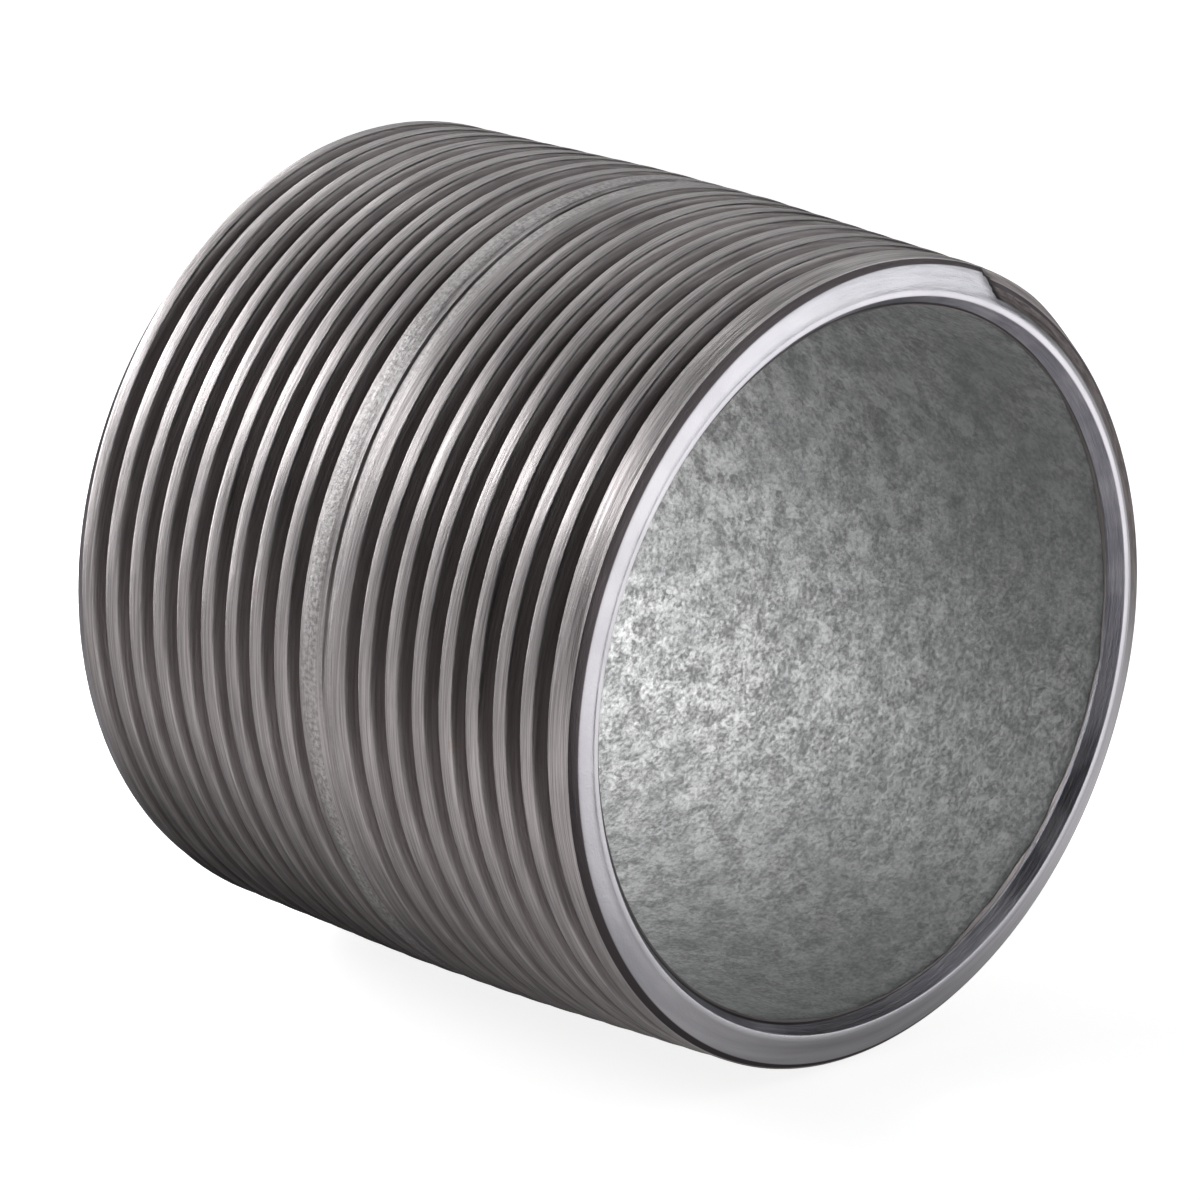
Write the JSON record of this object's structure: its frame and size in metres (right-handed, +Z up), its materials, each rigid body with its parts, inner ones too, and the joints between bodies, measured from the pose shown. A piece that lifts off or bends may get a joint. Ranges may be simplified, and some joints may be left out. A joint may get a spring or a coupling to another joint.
{
  "type": "threaded pipe nipple",
  "caption": "Close pipe nipple: short galvanised steel pipe with a male taper thread on each end, joining two female fittings.",
  "frame": {"origin": "on the bore axis at mid-length", "axes": "+X along the bore axis towards the near end, +Z up as the nipple lies on its side"},
  "size_m": [0.0636, 0.073, 0.073],
  "materials": {
    "cut_steel": "machined threads, bare steel with fine circumferential tool marks",
    "galvanised_zinc": "hot-dip galvanised, matte with fine mottled spangle"
  },
  "bodies": {
    "root": {"steel_body": "cut_steel", "bore_zinc_lining": "galvanised_zinc"}
  },
  "joints": []
}
